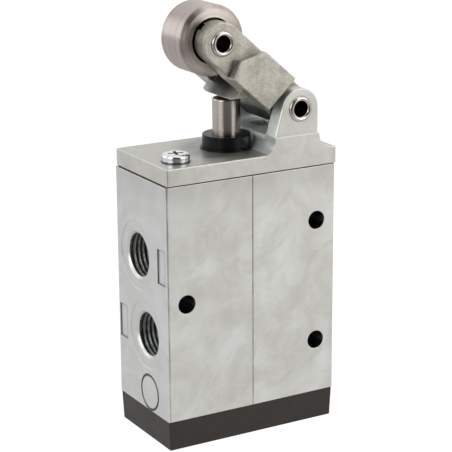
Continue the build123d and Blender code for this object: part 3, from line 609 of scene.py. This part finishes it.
def moulded_plastic(name, pale, dark, roughness, depth=0.012, size=0.45, gloss=0.4):
    """Moulded black plastic or rubber with a fine satin grain and dusty patches."""
    s = new_material(name)
    grain = s.noise(size, detail=3.0, rough=0.6)
    dust = s.noise(7.0, detail=5.0, rough=0.65, offset=1.0)
    tone = s.plus(s.times(grain, 0.5), s.times(dust, 0.5))
    base = s.mix(s.spread(tone, 0.38, 0.66), dark, pale)
    rough = s.spread(dust, 0.3, 0.7, roughness - 0.06, roughness + 0.08)
    return s.finish(base, 0.0, rough, s.bump(grain, depth), specular=gloss)


BODY_METAL = cast_metal("cast_body", (222, 222, 218), (206, 204, 197), "block", size=13.0)
COVER_METAL = cast_metal("cast_cover", (210, 209, 203), (197, 195, 188), "cover", size=7.0,
                         offset=11.0, metallic=COVER_METALLIC, matt=0.34, reach=2.5, shade_floor=0.7)
LEVER_METAL = cast_metal("cast_lever", (194, 190, 180), (158, 154, 143), "lever", size=5.0,
                         offset=21.0, speckle=0.65, reach=10.0, shade_floor=0.45)
ROLLER_STEEL = turned_steel("roller_steel", (190, 180, 174), (162, 152, 146), AXLE, "y", 0.0005,
                            recess=True)
PLUNGER_STEEL = turned_steel("plunger_steel", (180, 171, 165), (172, 164, 158), PLUNGER_AXIS, "z",
                             0.0002, roughness=(0.25, 0.27))
RIVET_NICKEL = plain_metal("rivet_nickel", (200, 191, 186), (168, 158, 152), 0.17, size=4.0,
                           depth=0.001, bores=(PIVOT, AXLE))
SCREW_ZINC = plain_metal("screw_zinc", (226, 228, 229), (202, 204, 206), 0.12, depth=0.002,
                         heads=True)
THREAD_METAL = tapped_metal("thread_metal")
INNER_METAL = plain_metal("inner_aluminium", (212, 212, 213), (195, 195, 196), 0.3)
SPOOL_METAL = plain_metal("spool_aluminium", (220, 220, 221), (208, 208, 209), 0.18)
SPRING_WIRE = plain_metal("spring_steel", (170, 169, 168), (140, 139, 138), 0.25)
BUSH_BRONZE = plain_metal("bush_bronze", (186, 158, 112), (150, 122, 82), 0.38)
BASE_PLASTIC = moulded_plastic("base_plastic", (62, 56, 52), (48, 43, 39), 0.52)
BUSH_PLASTIC = moulded_plastic("bush_plastic", (12, 12, 12), (5, 5, 5), 0.3, depth=0.003, size=0.3,
                               gloss=0.25)
WASHER_PLASTIC = moulded_plastic("washer_plastic", (9, 8, 7), (4, 4, 3), 0.6)
SEAL_RUBBER = moulded_plastic("seal_rubber", (44, 43, 42), (26, 25, 25), 0.6)

FINISHES = {
    "valve_body": BODY_METAL, "top_cover": COVER_METAL, "lever": LEVER_METAL,
    "base_cover": BASE_PLASTIC, "guide_bush": BUSH_PLASTIC, "thrust_washers": WASHER_PLASTIC,
    "base_seal": SEAL_RUBBER, "top_gasket": SEAL_RUBBER, "rod_seal": SEAL_RUBBER,
    "spool_seals": SEAL_RUBBER, "base_screws": SCREW_ZINC, "cover_screws": SCREW_ZINC,
    "upper_retainer": INNER_METAL, "lower_retainer": INNER_METAL,
    "supply_cage": INNER_METAL, "outlet_cage": INNER_METAL, "exhaust_cage": INNER_METAL,
    "spool": SPOOL_METAL, "plunger": PLUNGER_STEEL,
    "plunger_clip": SPRING_WIRE, "spring_seat": SPRING_WIRE, "return_spring": SPRING_WIRE,
    "pivot_rivet": RIVET_NICKEL, "roller_rivet": RIVET_NICKEL,
    "roller": ROLLER_STEEL, "roller_bush": BUSH_BRONZE,
}
for node_name, node_object in NODES.items():
    node_object.data.materials.clear()
    node_object.data.materials.append(FINISHES[node_name])


# ---------------------------------------------------------------- thread turns and spring
def piece(name, mesh, material, body):
    """A new smooth piece of the object, riding on a body."""
    made = bpy.data.objects.new(name, mesh)
    bpy.context.scene.collection.objects.link(made)
    mesh.materials.clear()
    mesh.materials.append(material)
    for polygon in mesh.polygons:
        polygon.use_smooth = True
    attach(made, body)
    return made


def share_of(value):
    return min(1.0, max(0.0, value))


def ridge_radius(turn_share):
    """Radius of the thread at a share of one turn: a root, a flank, a rounded crest, a flank."""
    wave = abs(2.0 * (turn_share % 1.0) - 1.0)
    rise = share_of((wave - ROOT_FLAT) / FLANKS)
    rise = rise * rise * (3.0 - 2.0 * rise)
    return ROOT_RADIUS + (CREST_RADIUS - ROOT_RADIUS) * rise


def sleeve_radius(depth, turn_share):
    """Radius of the sleeve's inner side: the turns, which grow in behind a 45 degree mouth."""
    cone = SLEEVE_RADIUS - SLEEVE_EDGE - (depth - SLEEVE_START)
    grown = share_of((depth - MOUTH_DEPTH) / MOUTH_FADE)
    turns = ridge_radius(depth / THREAD_PITCH - turn_share)
    return max(CREST_RADIUS + (turns - CREST_RADIUS) * grown, cone)


def thread_mesh(name):
    """The inside of a tapped hole along X, as a thin closed sleeve with the turns on its inner side."""
    shares = [step / THREAD_STEPS for step in range(THREAD_STEPS)]

    def row(depth, radii):
        return [(depth * MM, radius * MM * math.cos(2.0 * math.pi * share),
                 radius * MM * math.sin(2.0 * math.pi * share)) for radius, share in zip(radii, shares)]

    length = SLEEVE_END - SLEEVE_START
    depth_count = round(length / THREAD_PITCH * DEPTH_STEPS_PER_TURN)
    rows = []
    for index in range(depth_count + 1):
        depth = SLEEVE_START + length * index / depth_count
        rows.append(row(depth, [sleeve_radius(depth, share) for share in shares]))
    for depth in (SLEEVE_END, SLEEVE_START):
        rows.append(row(depth, [SLEEVE_RADIUS] * THREAD_STEPS))
    faces = []
    for index in range(len(rows)):
        here = index * THREAD_STEPS
        after = (index + 1) % len(rows) * THREAD_STEPS
        for step in range(THREAD_STEPS):
            beside = (step + 1) % THREAD_STEPS
            faces.append((here + step, here + beside, after + beside, after + step))
    mesh = bpy.data.meshes.new(name)
    mesh.from_pydata([point for points in rows for point in points], [], faces)
    mesh.validate()
    shape = bmesh.new()
    shape.from_mesh(mesh)
    bmesh.ops.recalc_face_normals(shape, faces=shape.faces)
    shape.to_mesh(mesh)
    shape.free()
    return mesh


def make_threads():
    for port, face, side, level in PORTS:
        sleeve = thread_mesh(port + "_thread")
        turned = math.pi if face == BODY_RIGHT else 0.0
        place = Matrix.Translation(Vector((face, side, level)) * MM)
        sleeve.transform(place @ Matrix.Rotation(turned, 4, "Z"))
        piece(port + "_thread", sleeve, THREAD_METAL, "housing")


def make_spring():
    """The return spring's coils, as a copy of the spring riding on the housing."""
    coils = piece("return_spring_coils", NODES["return_spring"].data.copy(), SPRING_WIRE, "housing")
    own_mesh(coils)
    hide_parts("return_spring")


make_threads()
make_spring()


# ---------------------------------------------------------------- floor, world, light, camera
def dark_side(s, vector):
    """Where the studio is dark, by a direction or a place on the floor: 1 there and 0 elsewhere."""
    flat = s.vector("NORMALIZE", s.vector("MULTIPLY", vector, (1.0, 1.0, 0.0)))
    towards = (math.cos(DARK_AZIMUTH), math.sin(DARK_AZIMUTH), 0.0)
    facing = s.vector("DOT_PRODUCT", flat, towards)
    return s.spread(facing, math.cos(DARK_OUTER), math.cos(DARK_INNER))


def strength(s, dark, high, low):
    """A strength that goes from high to low as the side gets dark."""
    return s.spread(dark, 0.0, 1.0, high, low, smooth=False)


def floor_material():
    """White to the camera except in the object's shadow, pale in reflections, grey for the bounce."""
    s = new_material("floor_white")
    shade = s.node("ShaderNodeBsdfDiffuse")
    shade.inputs["Color"].default_value = (FLOOR_ALBEDO, FLOOR_ALBEDO, FLOOR_ALBEDO, 1.0)
    glow = s.node("ShaderNodeEmission")
    glow.inputs["Color"].default_value = WHITE + (1.0,)
    ray = s.node("ShaderNodeLightPath")
    place = s.node("ShaderNodeNewGeometry").outputs["Position"]
    far = s.spread(s.vector("LENGTH", place), *FLOOR_DARK_FROM)
    dark = s.times(dark_side(s, place), far)
    mirrored = s.times(ray.outputs["Is Glossy Ray"], strength(s, dark, FLOOR_MIRRORED, 0.0))
    seen = s.math("MAXIMUM", ray.outputs["Is Camera Ray"], ray.outputs["Is Transmission Ray"])
    s.plug(glow.inputs["Strength"], s.plus(s.times(seen, FLOOR_GLOW), mirrored))
    both = s.plug_all(s.node("ShaderNodeAddShader"), (shade.outputs[0], glow.outputs[0]))
    return s.surface(both)


def make_floor():
    mesh = bpy.data.meshes.new("floor")
    half = FLOOR_HALF
    corners = [(-half, -half, 0.0), (half, -half, 0.0), (half, half, 0.0), (-half, half, 0.0)]
    mesh.from_pydata(corners, [], [(0, 1, 2, 3)])
    made = bpy.data.objects.new("floor", mesh)
    bpy.context.scene.collection.objects.link(made)
    mesh.materials.append(floor_material())


def make_world():
    """White to the camera and in reflections but for one dark side, and soft light on the object."""
    world = bpy.data.worlds.new("studio")
    bpy.context.scene.world = world
    s = Nodes(world, "ShaderNodeOutputWorld")
    ray = s.node("ShaderNodeLightPath").outputs

    def background(level):
        made = s.node("ShaderNodeBackground")
        made.inputs["Color"].default_value = WHITE + (1.0,)
        s.plug(made.inputs["Strength"], level)
        return made.outputs[0]

    def choose(share, off, on):
        return s.plug_all(s.node("ShaderNodeMixShader"), (share, off, on))

    dark = dark_side(s, s.texture.outputs["Generated"])
    mirrored = background(strength(s, dark, 1.0, DARK_LEVEL))
    lit = choose(ray["Is Glossy Ray"], background(WORLD_LEVEL), mirrored)
    clear = choose(ray["Is Transmission Ray"], lit, background(1.0))
    s.surface(choose(ray["Is Camera Ray"], clear, background(1.0)))


def make_lamp(name, place, target, side, power, tint):
    data = bpy.data.lights.new(name, "AREA")
    data.shape = "RECTANGLE"
    data.size = side
    data.size_y = side
    data.energy = power
    data.color = tint
    made = bpy.data.objects.new(name, data)
    bpy.context.scene.collection.objects.link(made)
    made.location = place
    aim = Vector(target) - Vector(place)
    made.rotation_mode = "QUATERNION"
    made.rotation_quaternion = aim.to_track_quat("-Z", "Y")


def make_camera():
    data = bpy.data.cameras.new("camera")
    data.lens = LENS
    data.sensor_width = SENSOR
    data.clip_start, data.clip_end = CAMERA_CLIP
    made = bpy.data.objects.new("camera", data)
    bpy.context.scene.collection.objects.link(made)
    place = Vector(CAMERA_PLACE) * MM
    aim = Vector(CAMERA_TARGET) * MM - place
    made.location = place
    made.rotation_mode = "QUATERNION"
    level = aim.to_track_quat("-Z", "Y")
    roll = Matrix.Rotation(math.radians(CAMERA_ROLL), 4, "Z").to_quaternion()
    made.rotation_quaternion = level @ roll
    bpy.context.scene.camera = made


make_floor()
make_world()
for lamp in LAMPS:
    make_lamp(*lamp)
make_camera()
bpy.context.scene.view_settings.view_transform = "Standard"
